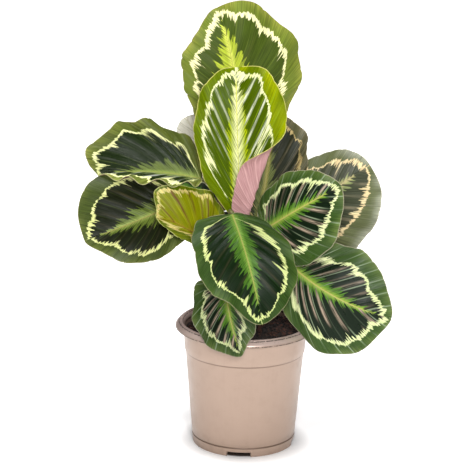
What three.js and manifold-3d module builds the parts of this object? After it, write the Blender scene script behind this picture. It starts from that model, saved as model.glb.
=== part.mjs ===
// A calathea in a round nursery pot: broad leaves on thin arching stalks that rise from
// the soil, above a tapered plastic pot with a hooked rim and a notched foot ring.
// Millimetres, +Z up. The plant shows its best side to -Y. All places below are measured
// from the pot's foot, on its axis. At the end the whole plant is shifted sideways, so that
// the exported origin lies on the ground below the middle of the plant's outline.

import * as THREE from 'three';
import Module from 'manifold-3d';
import { mergeVertices } from 'three/addons/utils/BufferGeometryUtils.js';

const wasm = await Module();
wasm.setup();

// ---- Driving dimensions -------------------------------------------------------------

const POT_HEIGHT = 127.5;
const RIM_RADIUS = 70;
const RIM_FLANGE_Z = 121;
const RIM_FLANGE_THICK = 2;
const RIM_TOP_OUTER = 65;
const RIM_TOP_INNER = 63;
const BAND_TOP_RADIUS = 62;
const BAND_FOOT_RADIUS = 60.5;
const BAND_FOOT_Z = 98;
const BODY_TOP_RADIUS = 59.5;
const BODY_FOOT_RADIUS = 52.3;
const FOOT_RING_Z = 9;
const FOOT_RADIUS = 51.4;
const FOOT_RING_WIDTH = 3.4;
const FOOT_GROOVE = 0.5;
const WALL = 1.2;
const FLOOR_UNDERSIDE_Z = 5;
const FLOOR_THICK = 1.4;
const POT_SIDES = 48;

const NOTCH_COUNT = 4;
const NOTCH_WIDTH = 24;
const NOTCH_HEIGHT = 4.5;
const NOTCH_TURN_DEG = -5;
const DRAIN_COUNT = 6;
const DRAIN_RADIUS = 4;
const DRAIN_CIRCLE = 34;
const DRAIN_SIDES = 8;

const SOIL_EDGE_Z = 116.5;
const SOIL_TOP_Z = 118.5;
const SOIL_MOUND_RADIUS = 42;
const GAP = 0.3;

const STALK_RADIUS = 1.9;
const STALK_SIDES = 6;
const STALK_STEPS = 13;
const STALK_SINK = 9;
const STALK_RISE = 0.45;
const STALK_LEAD = 26;
const STALK_END_GAP = 0.6;
const HOLE_SIDES = 8;

const BLADE_THICK = 1;
const RIB_DEPTH = 2.2;
const RIB_TAPER = 0.7;
const BLADE_ROWS = 14;
const BLADE_COLUMNS = [-1, -0.72, -0.4, -0.07, 0, 0.07, 0.4, 0.72, 1];
const ROLLED_COLUMNS = [
  -1, -0.72, -0.4, -0.07, 0, 0.07, 0.18, 0.28, 0.37, 0.46, 0.55, 0.65, 0.76, 0.88, 1,
];
const WAVE_SHIFT = 1.7;
const SCALLOP = 0.02;
const BEND_STEPS = 24;

const ROLL_CREASE = 5;
const ROLL_SPREAD = 52;
const ROLL_SPAN = 10;
const ROLL_TOP = 0.33;
const ROLL_FADE = 0.32;

// ---- The leaves ---------------------------------------------------------------------

// One half of a blade, on one side of its midrib. Width is the greatest half-width in mm
// and widest says how far along the leaf it lies. Fold lifts the half from the leaf's
// plane in degrees, curl bends it on towards its margin, and roll turns it forward over a
// crease near the base. Foot and point say how full the half is at either end, lobe pushes
// the margin back behind the base, and nose pushes it on beside the tip.
function half(width, widest, fold, curl, foot, point, lobe = 0.05, nose = 0, roll = 0) {
  return { width, widest, fold, curl, foot, point, lobe, nose, roll };
}

// A margin's waves: how many, how high in mm, their phase and how much they scallop.
function waves(count, height, phase = 0, scallop = SCALLOP) {
  return { count, height, phase, scallop };
}

// Each leaf: where the midrib starts and ends, where the upper side looks, how high the
// midrib arches off its chord and how far it sweeps aside, the two halves, the waves,
// and where the stalk stands in the soil.
const LEAVES = [
  {
    name: 'crown', base: [-13, 38, 313], tip: [-33, 44, 436], face: [0.04, -0.91, 0.42],
    arch: 9, sweep: 6,
    left: half(51, 0.51, 10, -20, 0.69, 0.9, 0.04, -0.08),
    right: half(76, 0.52, -15, -12, 0.83, 1.6, 0.04, 0.07),
    waves: waves(5, 3, 0, 0.03), stalk: [-2, 20], look: 'olive',
  },
  {
    name: 'young', base: [-7, -18, 239], tip: [-14, -5, 386], face: [-0.11, -0.95, 0.31],
    arch: 12, sweep: 1,
    left: half(41.5, 0.58, 17, -20, 0.95, 0.64, -0.05, -0.03),
    right: half(52.5, 0.49, 19, -10, 0.8, 0.54, 0, 0.01, 180),
    waves: waves(4, 2, 0, 0.03), stalk: [-8, -8], look: 'young',
  },
  {
    name: 'behind', base: [10, 15, 220], tip: [25, 31, 332], face: [-0.15, -0.93, 0.33],
    arch: 8, sweep: 3,
    left: half(34, 0.5, 10, -20, 0.75, 0.85),
    right: half(38, 0.7, 7, -25, 0.65, 1.05),
    waves: waves(4, 4, 1, 0.05), stalk: [8, 6], look: 'mature',
  },
  {
    name: 'right_back', base: [43, 25, 211], tip: [121, 20, 285], face: [0.18, -0.72, 0.67],
    arch: 6, sweep: -3,
    left: half(41, 0.5, 11, -20, 0.75, 0.87, 0.05, -0.01),
    right: half(59, 0.46, 6, -20, 0.74, 0.81, 0.05, 0.02),
    waves: waves(4, 2), stalk: [16, 6], look: 'olive',
  },
  {
    name: 'right_front', base: [17, -15, 226], tip: [90, -38, 278], face: [0.26, -0.68, 0.68],
    arch: 7, sweep: 2,
    left: half(41, 0.41, 8, -20, 0.76, 1.1, 0.1, -0.02),
    right: half(54, 0.43, 2, -20, 0.79, 1.15, 0.1, -0.02),
    waves: waves(4, 2), stalk: [6, -6], look: 'mature',
  },
  {
    name: 'front', base: [-15, -38, 248], tip: [16, -88, 152], face: [0.03, -0.77, 0.64],
    arch: 12, sweep: -1,
    left: half(46, 0.51, 1, -15, 1.4, 1, -0.03, -0.03),
    right: half(50, 0.41, 14, -15, 0.5, 0.95, 0.02, -0.12),
    waves: waves(5, 1.5), stalk: [-2, -16], look: 'mature',
  },
  {
    name: 'right_low', base: [43, -33, 196], tip: [142, -60, 151], face: [0.12, -0.98, 0.16],
    arch: 9, sweep: 7,
    left: half(52, 0.48, 6, -20, 0.88, 0.98, 0.05, -0.04),
    right: half(61, 0.59, -14, -20, 0.94, 1.3, 0.04, -0.01),
    waves: waves(4, 2), stalk: [14, -8], look: 'mature',
  },
  {
    name: 'front_low', base: [-22, -55, 187], tip: [-4, -80, 116], face: [-0.25, -0.92, 0.29],
    arch: 4, sweep: 1,
    left: half(23, 0.57, -4, -10, 0.75, 1.2, 0.1, -0.08),
    right: half(40, 0.45, -7, -10, 0.64, 1.25, 0.1, -0.01),
    waves: waves(4, 2), stalk: [-12, -22], look: 'mature',
  },
  {
    name: 'left_low', base: [-62, 15, 248], tip: [-160, -20, 213], face: [-0.2, -0.86, 0.47],
    arch: 6, sweep: -4,
    left: half(44, 0.48, 9, -20, 0.8, 1.25, 0.05, -0.05),
    right: half(63, 0.49, 8, -15, 0.75, 0.93, 0.05, 0.04),
    waves: waves(4, 2), stalk: [-20, 2], look: 'mature',
  },
  {
    name: 'left_high', base: [-46, 10, 270], tip: [-148, -10, 278], face: [0.04, -0.51, 0.86],
    arch: 2, sweep: 5,
    left: half(35, 0.44, 36, -16, 0.75, 0.85, 0.01, -0.03),
    right: half(52, 0.63, 43, -10, 0.75, 1.55, 0.06, 0.14),
    waves: waves(4, 4, 0, 0.05), stalk: [-14, -2], look: 'mature',
  },
  {
    name: 'left_young', base: [-34, -12, 210], tip: [-89, -30, 245], face: [-0.31, -0.81, 0.49],
    arch: 6, sweep: 0,
    left: half(11, 0.48, -1, -20, 0.75, 0.91),
    right: half(44.5, 0.44, 2, -20, 0.72, 1.25, 0.01, 0.26),
    waves: waves(4, 2), stalk: [-18, -10], look: 'young',
  },
  {
    name: 'left_back', base: [-22, 45, 258], tip: [-64, 60, 321], face: [-0.4, 0.6, 0.6],
    arch: 4, sweep: 0,
    left: half(24, 0.5, 5, -15, 0.75, 0.85),
    right: half(24, 0.5, 5, -15, 0.75, 0.85),
    waves: waves(4, 2), stalk: [-12, 12], look: 'mature',
  },
  {
    name: 'back_right', base: [30, 50, 195], tip: [95, 112, 190], face: [0.2, 0.2, 0.95],
    arch: 10, sweep: 0,
    left: half(36, 0.5, 5, -15, 0.75, 0.85),
    right: half(40, 0.5, 5, -15, 0.75, 0.85),
    waves: waves(4, 2), stalk: [20, 17], look: 'mature',
  },
  {
    name: 'back_middle', base: [0, 68, 205], tip: [8, 165, 185], face: [0, 0.25, 0.97],
    arch: 12, sweep: 0,
    left: half(42, 0.5, 5, -15, 0.75, 0.85),
    right: half(38, 0.5, 5, -15, 0.75, 0.85),
    waves: waves(5, 2, 1), stalk: [6, 27], look: 'mature',
  },
  {
    name: 'back_left', base: [-38, 52, 195], tip: [-112, 98, 185], face: [-0.2, 0.2, 0.95],
    arch: 10, sweep: 0,
    left: half(38, 0.5, 5, -15, 0.75, 0.85),
    right: half(36, 0.5, 5, -15, 0.75, 0.85),
    waves: waves(4, 2, 2), stalk: [-10, 22], look: 'mature',
  },
  {
    name: 'back_high', base: [-8, 70, 262], tip: [-2, 140, 312], face: [0, -0.55, 0.83],
    arch: 8, sweep: 0,
    left: half(38, 0.5, 5, -15, 0.75, 0.85),
    right: half(40, 0.5, 5, -15, 0.75, 0.85),
    waves: waves(4, 2, 3), stalk: [-4, 28], look: 'olive',
  },
  {
    name: 'back_right_high', base: [24, 58, 232], tip: [70, 118, 262], face: [0.35, 0.45, 0.8],
    arch: 10, sweep: 0,
    left: half(38, 0.5, 5, -15, 0.75, 0.85),
    right: half(36, 0.5, 5, -15, 0.75, 0.85),
    waves: waves(5, 2, 4), stalk: [12, 23], look: 'mature',
  },
  {
    name: 'back_left_high', base: [-32, 60, 222], tip: [-88, 124, 236], face: [-0.35, 0.35, 0.87],
    arch: 10, sweep: 0,
    left: half(35, 0.5, 5, -15, 0.75, 0.85),
    right: half(37, 0.5, 5, -15, 0.75, 0.85),
    waves: waves(4, 2, 5), stalk: [-16, 16], look: 'mature',
  },
];

// ---- Materials ----------------------------------------------------------------------

const COLOURS = { mature: 0x2c4a2c, olive: 0x5b6b34, young: 0x8c9a2e };
const potPlastic = new THREE.MeshStandardMaterial({ color: 0xb89f8c, roughness: 0.42 });
const soilPeat = new THREE.MeshStandardMaterial({ color: 0x241a14, roughness: 0.95 });
const stalkSkin = new THREE.MeshStandardMaterial({ color: 0x6a5638, roughness: 0.55 });

function bladeMaterial(look) {
  return new THREE.MeshStandardMaterial({ color: COLOURS[look], roughness: 0.38 });
}

// ---- Leaf geometry ------------------------------------------------------------------

function smoothStep(value) {
  const t = Math.min(Math.max(value, 0), 1);
  return t * t * (3 - 2 * t);
}

// The margin at share s of the way round from base to tip: how far along the midrib it
// lies, as a share of the leaf, and how far out from it, in mm.
function marginAt(leaf, side, hand, s) {
  const { count, phase, scallop } = leaf.waves;
  const shift = hand > 0 ? WAVE_SHIFT : 0;
  const swell = 1 + scallop * Math.cos(2 * Math.PI * count * s + phase + shift);
  const fullness = s < 0.5 ? side.foot : side.point;
  const out = side.width * Math.max(Math.sin(Math.PI * s), 0) ** fullness * swell;
  const even = (1 - Math.cos(Math.PI * s)) / 2;
  let along = even ** (Math.log(side.widest) / Math.log(0.5));
  if (s < 0.4) along -= side.lobe * Math.sin((Math.PI * s) / 0.4) ** 2;
  if (s > 0.6) along += side.nose * Math.sin((Math.PI * (1 - s)) / 0.4) ** 2;
  return { along, out };
}

// The midrib's point and frame at share t of its length. Past either end it runs straight.
function midribFrame(leaf, t) {
  const base = new THREE.Vector3(...leaf.base);
  const chord = new THREE.Vector3(...leaf.tip).sub(base);
  const face = new THREE.Vector3(...leaf.face).normalize();
  const length = chord.length();
  const ahead = chord.clone().divideScalar(length);
  const up = face.clone().addScaledVector(ahead, -face.dot(ahead)).normalize();
  const aside = new THREE.Vector3().crossVectors(ahead, up);
  const inside = Math.min(Math.max(t, 0), 1);
  const bow = 4 * inside * (1 - inside);
  const slope = 4 * (1 - 2 * inside);
  const tangent = chord.clone();
  tangent.addScaledVector(up, leaf.arch * slope).addScaledVector(aside, leaf.sweep * slope);
  tangent.normalize();
  const point = base.clone().addScaledVector(chord, inside);
  point.addScaledVector(up, leaf.arch * bow).addScaledVector(aside, leaf.sweep * bow);
  point.addScaledVector(tangent, (t - inside) * length);
  const normal = face.clone().addScaledVector(tangent, -face.dot(tangent)).normalize();
  const right = new THREE.Vector3().crossVectors(tangent, normal);
  return { point, tangent, normal, right };
}

// Where a half lies when it is followed outward from the midrib for a distance in mm, and
// its slope there. A rolled half turns over a crease that runs away from the midrib.
function crossBend(side, along, distance) {
  const roll = side.roll * (1 - smoothStep((along - ROLL_TOP) / ROLL_FADE));
  const crease = ROLL_CREASE + ROLL_SPREAD * along;
  const slopeAt = (out) => THREE.MathUtils.degToRad(
    side.fold + (side.curl * out) / side.width
    + roll * smoothStep((out - crease) / ROLL_SPAN),
  );
  const step = distance / BEND_STEPS;
  let outward = 0;
  let upward = 0;
  for (let k = 0; k < BEND_STEPS; k += 1) {
    const slope = slopeAt((k + 0.5) * step);
    outward += Math.cos(slope) * step;
    upward += Math.sin(slope) * step;
  }
  return { outward, upward, angle: slopeAt(distance) };
}

// A point of the blade's middle surface. Rows of s follow the side veins, and v runs from
// -1 at the left margin through 0 on the midrib to 1 at the right margin.
function bladePoint(leaf, s, v) {
  const hand = v < 0 ? -1 : 1;
  const side = v < 0 ? leaf.left : leaf.right;
  const reach = Math.abs(v);
  const margin = marginAt(leaf, side, hand, s);
  const start = 0.4 * s + 0.6 * s ** 2.2;
  const along = start + (margin.along - start) * (0.75 * reach + 0.25 * reach * reach);
  const out = margin.out * reach;
  const frame = midribFrame(leaf, along);
  const bend = crossBend(side, along, out);
  const { count, height, phase } = leaf.waves;
  const shift = hand > 0 ? WAVE_SHIFT : 0;
  const swing = Math.sin(2 * Math.PI * count * s + phase + shift);
  const wave = height * swing * reach ** 2.5 * Math.sqrt(Math.max(Math.sin(Math.PI * s), 0));
  return frame.point
    .addScaledVector(frame.right, hand * (bend.outward - wave * Math.sin(bend.angle)))
    .addScaledVector(frame.normal, bend.upward + wave * Math.cos(bend.angle));
}

// The blade as one closed thin solid with its midrib raised on the underside. Both faces
// are split along the same diagonals.
function bladeGeometry(leaf) {
  const columns = leaf.right.roll ? ROLLED_COLUMNS : BLADE_COLUMNS;
  const last = columns.length - 1;
  const middle = columns.indexOf(0);
  const rows = [];
  for (let i = 1; i < BLADE_ROWS; i += 1) {
    rows.push(columns.map((v) => bladePoint(leaf, i / BLADE_ROWS, v)));
  }
  const points = [bladePoint(leaf, 0, 0), ...rows.flat(), bladePoint(leaf, 1, 0)];
  const base = 0;
  const tip = points.length - 1;
  const index = (row, column) => 1 + row * columns.length + column;

  const faces = [];
  for (let j = 0; j < last; j += 1) {
    faces.push([base, index(0, j + 1), index(0, j)]);
    for (let i = 0; i < rows.length - 1; i += 1) {
      faces.push([index(i, j), index(i, j + 1), index(i + 1, j)]);
      faces.push([index(i, j + 1), index(i + 1, j + 1), index(i + 1, j)]);
    }
    faces.push([tip, index(rows.length - 1, j), index(rows.length - 1, j + 1)]);
  }

  const normals = points.map(() => new THREE.Vector3());
  for (const [a, b, c] of faces) {
    const across = points[b].clone().sub(points[a]);
    const normal = across.cross(points[c].clone().sub(points[a]));
    for (const corner of [a, b, c]) normals[corner].add(normal);
  }
  normals[base].copy(midribFrame(leaf, 0).normal);
  const lift = points.map((point, k) => {
    normals[k].normalize();
    return point.clone().addScaledVector(normals[k], BLADE_THICK / 2);
  });
  const sink = points.map((point, k) => {
    const onRib = k === base || k === tip || (k - 1) % columns.length === middle;
    const s = k === tip ? 1 : Math.ceil(k / columns.length) / BLADE_ROWS;
    const rib = onRib ? RIB_DEPTH * (1 - s) ** RIB_TAPER : 0;
    return point.clone().addScaledVector(normals[k], -BLADE_THICK / 2 - rib);
  });

  const under = points.length;
  const corners = [];
  for (const [a, b, c] of faces) corners.push(a, b, c, under + c, under + b, under + a);
  const loop = [base];
  for (let i = 0; i < rows.length; i += 1) loop.push(index(i, last));
  loop.push(tip);
  for (let i = rows.length - 1; i >= 0; i -= 1) loop.push(index(i, 0));
  loop.forEach((p, k) => {
    const q = loop[(k + 1) % loop.length];
    corners.push(under + p, under + q, q, under + p, q, p);
  });

  const geometry = new THREE.BufferGeometry().setFromPoints([...lift, ...sink]);
  geometry.setIndex(corners);
  return geometry;
}

// The stalk's course: straight up out of its hole, then in one arc to the blade's base.
function stalkCurve(leaf) {
  const frame = midribFrame(leaf, 0);
  const foot = new THREE.Vector3(leaf.stalk[0], leaf.stalk[1], SOIL_TOP_Z - STALK_SINK);
  const collar = foot.clone().setZ(SOIL_TOP_Z);
  const end = frame.point.addScaledVector(frame.tangent, -STALK_END_GAP);
  end.addScaledVector(frame.normal, -RIB_DEPTH / 2);
  const rise = collar.clone();
  rise.z += STALK_RISE * end.distanceTo(collar);
  const lead = end.clone().addScaledVector(frame.tangent, -STALK_LEAD);
  const course = new THREE.CurvePath();
  course.add(new THREE.LineCurve3(foot, collar));
  course.add(new THREE.CubicBezierCurve3(collar, rise, lead, end));
  return course;
}

function polygonShape(radius, sides) {
  const corners = [];
  for (let k = 0; k < sides; k += 1) {
    const angle = (2 * Math.PI * k) / sides;
    corners.push(new THREE.Vector2(radius * Math.cos(angle), radius * Math.sin(angle)));
  }
  return new THREE.Shape(corners);
}

function stalkGeometry(leaf) {
  return new THREE.ExtrudeGeometry(polygonShape(STALK_RADIUS, STALK_SIDES), {
    steps: STALK_STEPS,
    bevelEnabled: false,
    extrudePath: stalkCurve(leaf),
  });
}

// ---- Solids -------------------------------------------------------------------------

function toSolid(geometry) {
  const bare = new THREE.BufferGeometry();
  bare.setAttribute('position', geometry.getAttribute('position'));
  bare.setIndex(geometry.getIndex());
  const merged = mergeVertices(bare, 1e-4);
  const vertProperties = new Float32Array(merged.getAttribute('position').array);
  const triVerts = new Uint32Array(merged.getIndex().array);
  return new wasm.Manifold(new wasm.Mesh({ numProp: 3, vertProperties, triVerts }));
}

function toGeometry(solid) {
  const mesh = solid.getMesh();
  const geometry = new THREE.BufferGeometry();
  const positions = new THREE.BufferAttribute(new Float32Array(mesh.vertProperties), 3);
  geometry.setAttribute('position', positions);
  geometry.setIndex(new THREE.BufferAttribute(new Uint32Array(mesh.triVerts), 1));
  return geometry;
}

// A solid of revolution about +Z from [radius, height] corners that start and end on the axis.
function turned(corners, sides) {
  const profile = corners.map(([radius, height]) => new THREE.Vector2(radius, height));
  return new THREE.LatheGeometry(profile, sides).rotateX(Math.PI / 2);
}

function peg(radius, sides, bottom, top, x, y) {
  const shape = polygonShape(radius, sides);
  const geometry = new THREE.ExtrudeGeometry(shape, { depth: top - bottom, bevelEnabled: false });
  return toSolid(geometry.translate(x, y, bottom));
}

// The inner wall's radius at a height, for the pot's lining and for the soil that fills it.
function innerRadius(z) {
  const share = (z - FOOT_RING_Z) / (BAND_FOOT_Z - FOOT_RING_Z);
  return THREE.MathUtils.lerp(BODY_FOOT_RADIUS, BODY_TOP_RADIUS, share) - WALL;
}

function potGeometry() {
  const floorTop = FLOOR_UNDERSIDE_Z + FLOOR_THICK;
  const footInner = FOOT_RADIUS - FOOT_RING_WIDTH;
  const flangeTop = RIM_FLANGE_Z + RIM_FLANGE_THICK;
  let pot = toSolid(turned([
    [0, FLOOR_UNDERSIDE_Z],
    [footInner, FLOOR_UNDERSIDE_Z],
    [footInner, 0],
    [FOOT_RADIUS, 0],
    [BODY_FOOT_RADIUS, FOOT_RING_Z],
    [BODY_FOOT_RADIUS - FOOT_GROOVE, FOOT_RING_Z + FOOT_GROOVE],
    [BODY_FOOT_RADIUS, FOOT_RING_Z + 2 * FOOT_GROOVE],
    [BODY_TOP_RADIUS, BAND_FOOT_Z - 1],
    [BAND_FOOT_RADIUS, BAND_FOOT_Z],
    [BAND_TOP_RADIUS, RIM_FLANGE_Z],
    [RIM_RADIUS, RIM_FLANGE_Z],
    [RIM_RADIUS, flangeTop],
    [RIM_TOP_OUTER, POT_HEIGHT],
    [RIM_TOP_INNER, POT_HEIGHT],
    [BAND_TOP_RADIUS - WALL, flangeTop],
    [BAND_FOOT_RADIUS - WALL, BAND_FOOT_Z],
    [innerRadius(BAND_FOOT_Z - 1), BAND_FOOT_Z - 1],
    [innerRadius(floorTop), floorTop],
    [0, floorTop],
  ], POT_SIDES));
  for (let k = 0; k < NOTCH_COUNT; k += 1) {
    const notch = new THREE.BoxGeometry(NOTCH_WIDTH, 4 * FOOT_RING_WIDTH, 2 * NOTCH_HEIGHT);
    notch.translate(0, -FOOT_RADIUS, 0);
    notch.rotateZ(THREE.MathUtils.degToRad(NOTCH_TURN_DEG) + (2 * Math.PI * k) / NOTCH_COUNT);
    pot = pot.subtract(toSolid(notch));
  }
  for (let k = 0; k < DRAIN_COUNT; k += 1) {
    const turn = (2 * Math.PI * k) / DRAIN_COUNT;
    const x = DRAIN_CIRCLE * Math.cos(turn);
    const y = DRAIN_CIRCLE * Math.sin(turn);
    pot = pot.subtract(peg(DRAIN_RADIUS, DRAIN_SIDES, 0, FOOT_RING_Z, x, y));
  }
  return toGeometry(pot);
}

function soilGeometry() {
  const bottom = FLOOR_UNDERSIDE_Z + FLOOR_THICK + GAP;
  const bandInner = BAND_FOOT_RADIUS - WALL - GAP;
  const edge = THREE.MathUtils.mapLinear(
    SOIL_EDGE_Z, BAND_FOOT_Z, RIM_FLANGE_Z + RIM_FLANGE_THICK, BAND_FOOT_RADIUS, BAND_TOP_RADIUS,
  );
  let soil = toSolid(turned([
    [0, bottom],
    [innerRadius(bottom) - GAP, bottom],
    [innerRadius(BAND_FOOT_Z - 1) - GAP, BAND_FOOT_Z - 1],
    [bandInner, BAND_FOOT_Z + GAP],
    [edge - WALL - GAP, SOIL_EDGE_Z],
    [SOIL_MOUND_RADIUS, SOIL_TOP_Z],
    [0, SOIL_TOP_Z],
  ], POT_SIDES));
  for (const leaf of LEAVES) {
    const [x, y] = leaf.stalk;
    const holeRadius = (STALK_RADIUS + GAP) / Math.cos(Math.PI / HOLE_SIDES);
    const holeBottom = SOIL_TOP_Z - STALK_SINK - GAP;
    soil = soil.subtract(peg(holeRadius, HOLE_SIDES, holeBottom, POT_HEIGHT, x, y));
  }
  return toGeometry(soil);
}

// ---- Assembly -----------------------------------------------------------------------

const plant = new THREE.Group();

function place(name, geometry, material) {
  const mesh = new THREE.Mesh(geometry, material);
  mesh.name = name;
  plant.add(mesh);
}

place('pot', potGeometry(), potPlastic);
place('soil', soilGeometry(), soilPeat);
for (const leaf of LEAVES) {
  place(`blade_${leaf.name}`, bladeGeometry(leaf), bladeMaterial(leaf.look));
  place(`stalk_${leaf.name}`, stalkGeometry(leaf), stalkSkin);
}

const middle = new THREE.Box3().setFromObject(plant).getCenter(new THREE.Vector3());
plant.position.set(-middle.x, -middle.y, 0);

export default plant;
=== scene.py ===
import math
from itertools import combinations

import bmesh
import bpy
import numpy as np
from mathutils import Euler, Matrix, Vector, noise


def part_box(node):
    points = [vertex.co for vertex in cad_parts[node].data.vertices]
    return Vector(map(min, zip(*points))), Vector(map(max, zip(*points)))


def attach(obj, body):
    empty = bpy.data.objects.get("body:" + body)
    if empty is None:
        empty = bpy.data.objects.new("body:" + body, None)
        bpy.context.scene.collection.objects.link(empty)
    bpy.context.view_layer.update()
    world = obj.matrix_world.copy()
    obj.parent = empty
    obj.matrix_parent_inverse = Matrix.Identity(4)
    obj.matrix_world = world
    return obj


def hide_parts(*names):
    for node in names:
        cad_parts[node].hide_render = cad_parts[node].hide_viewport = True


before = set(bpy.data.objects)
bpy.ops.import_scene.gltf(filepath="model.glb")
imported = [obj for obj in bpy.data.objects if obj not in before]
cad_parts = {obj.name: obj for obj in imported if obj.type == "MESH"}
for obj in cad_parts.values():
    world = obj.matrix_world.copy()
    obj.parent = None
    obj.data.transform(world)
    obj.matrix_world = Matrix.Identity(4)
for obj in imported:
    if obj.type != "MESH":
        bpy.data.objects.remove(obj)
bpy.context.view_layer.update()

# A calathea in a round nursery pot. Every size below is in millimetres, measured from the
# ground on the pot's axis, with +Z up and the plant's best side towards -Y.

MM = 0.001
POT_LOW, POT_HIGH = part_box("pot")
POT_AXIS = np.array([(POT_LOW.x + POT_HIGH.x) / 2, (POT_LOW.y + POT_HIGH.y) / 2, 0.0])

# ---- Sizes --------------------------------------------------------------------------

# The pot: a tapered body on a foot ring, a band round its top, and a hooked rim.
POT_HEIGHT = 127.5
RIM_RADIUS = 70
FLANGE_Z = 121
FLANGE_TOP_Z = 123
RIM_TOP_OUTER = 65
RIM_TOP_INNER = 63
BAND_TOP_RADIUS = 62
BAND_FOOT_RADIUS = 60.5
BAND_FOOT_Z = 98
BODY_TOP_RADIUS = 59.5
BODY_FOOT_RADIUS = 52.3
FOOT_RADIUS = 51.4
FOOT_RING_Z = 9
FOOT_RING_WIDTH = 3.4
WALL = 1.2
FLOOR_UNDERSIDE_Z = 5
FLOOR_TOP_Z = 6.4
NOTCH_COUNT = 4
NOTCH_WIDTH = 24
NOTCH_HEIGHT = 4.5
NOTCH_TURN = -5             # degrees
DRAIN_COUNT = 6
DRAIN_RADIUS = 4
DRAIN_CIRCLE = 34
DRAIN_MARGIN = 8            # flat floor on both sides of the circle of drain holes
POT_SIDES = 160

SOIL_TOP_Z = 118.5
SOIL_EDGE_Z = 116.5
SOIL_RADIUS = 60.2
SOIL_MOUND_RADIUS = 42
CRUMB_COUNT = 1500

# A rolled half turns over along a crease, which lies so far off the midrib at the base
# and so much further at the tip. The roll ends at a share of the leaf and fades after it.
ROLL_CREASE = 5
ROLL_SPREAD = 52
ROLL_SPAN = 10
ROLL_TOP = 0.33
ROLL_FADE = 0.32

STALK_RADIUS = 1.75
STALK_SINK = 9              # how deep a stalk stands in the compost
STALK_RISE = 0.45           # share of its height that it goes up before it bends
STALK_LEAD = 26             # length over which it turns into the midrib
STALK_END_GAP = 0.6
STALK_STEPS = 56
STALK_SIDES = 14
SHEATH_FOOT = 8             # up to here the sheath clasps the stalk fully
SHEATH_SHARE = 0.3          # share of the stalk over which it thins out
SHEATH_SWELL = 0.2          # how much thicker it makes the stalk, as a factor
SHEATH_OPENING = 0.38       # and how much flatter where it is open
RIDGE_COUNT = 5
RIDGE_HEIGHT = 0.05
KNEE_LENGTH = 17
KNEE_SWELL = 0.16

BLADE_THICK = 0.6
RIM_BULGE = 0.35            # how far the margin is rounded out, in blade thicknesses
RIB_DEPTH = 2.2             # how far the midrib stands out of the underside at the base
RIB_TAPER = 0.7             # and what share of that it loses by the tip
RIB_WIDTH = 1.1
GROOVE_DEPTH = 0.45         # the groove over the midrib
SIDE_RIB_DEPTH = 0.3        # how far the side veins stand out of the underside
RIPPLE_HEIGHT = 0.35        # of the low ripples that run across the pleats
MARGIN_SHARE = 0.22         # share of the leaf within which the margin nearest a point lies
WAVE_SHIFT = 1.7            # phase between the waves of the two margins, in radians
VEIN_GAP = 9                # between the ends of two side veins
ROWS_A_VEIN = 8
BEND_STEPS = 24
# A blade's columns from the midrib to the margin, closest where it bends most.
COLUMN_PLACES = (0, 0.018, 0.045, 0.085, 0.14, 0.2, 0.27, 0.34, 0.41, 0.48, 0.55, 0.62,
                 0.69, 0.76, 0.83, 0.89, 0.94, 0.975, 1)


# ---- The leaves ---------------------------------------------------------------------

def half(width, widest, fold, curl, foot, point, lobe=0.05, nose=0, roll=0):
    """One half of a blade. Width is its greatest half-width and widest the place of that
    along the leaf. Fold lifts the half in degrees, curl bends it on towards its margin, and
    roll turns it forward over a crease near the base. Foot and point say how full its ends
    are, lobe pushes the margin back behind the base, and nose on beside the tip."""
    return dict(width=width, widest=widest, fold=fold, curl=curl, foot=foot, point=point,
                lobe=lobe, nose=nose, roll=roll)


def waves(count, height, phase=0, scallop=0.02):
    """A margin's waves: how many, how high, their phase and how much they scallop."""
    return dict(count=count, height=height, phase=phase, scallop=scallop)


USUAL_MARKS = dict(
    veins=13,               # side veins on each half
    lean=3.7,               # how strongly they lean forward, towards the tip
    sweep_out=1.0,          # how they bend outwards on their way, 1 where they run straight
    pleat=0.6,              # height of the quilting between them
    frill=0.9,              # bulge of the margin between their ends
    inset=(12.0, 12.0),     # how far the pale ring lies inside the left and right margin
    flare=0,                # how much further inside it lies towards the tip
    lobes=0.5,              # its lobes for each vein
    lobing=3.0,             # how far they swing it
    band=0.9,               # its width, as a factor
    breaks=0.3,             # how much it thins out in places
    ring_start=0.1,         # share of the leaf where it starts
    feather=16.0,           # how far the feather reaches off the midrib
    feather_end=0.85,       # share of the midrib where it ends
    streaks=(-1.0, 200.0, 1.0, 1.0),    # share where the streaks between the veins start,
                                        # their reach off the midrib, and how strong they
                                        # are on the left and right half
    rim=(0.0, 0.0),         # how much more the left and right border gleam
    tone=(1.0, 1.0),        # brightness of the left and right half
)


def leaf(name, base, tip, face, arch, sweep, left, right, margin_waves, stalk, look, **marks):
    """One leaf: the two ends of its midrib, where its upper side looks, how far the midrib
    arches and sweeps off its chord, its halves and waves, and where its stalk stands. Look
    names its upper skin. Marks are what differs from the usual, and an underside's look."""
    return dict(USUAL_MARKS, name=name, base=base, tip=tip, face=face, arch=arch, sweep=sweep,
                left=left, right=right, waves=margin_waves, stalk=stalk, look=look, **marks)


def back_leaf(name, base, tip, face, arch, widths, margin_waves, stalk, look="mature",
              **marks):
    """A leaf at the back: a plain blade with halves of these widths."""
    left, right = (half(width, 0.5, 5, -15, 0.75, 0.85) for width in widths)
    return leaf(name, base, tip, face, arch, 0, left, right, margin_waves, stalk, look,
                **marks)


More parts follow.
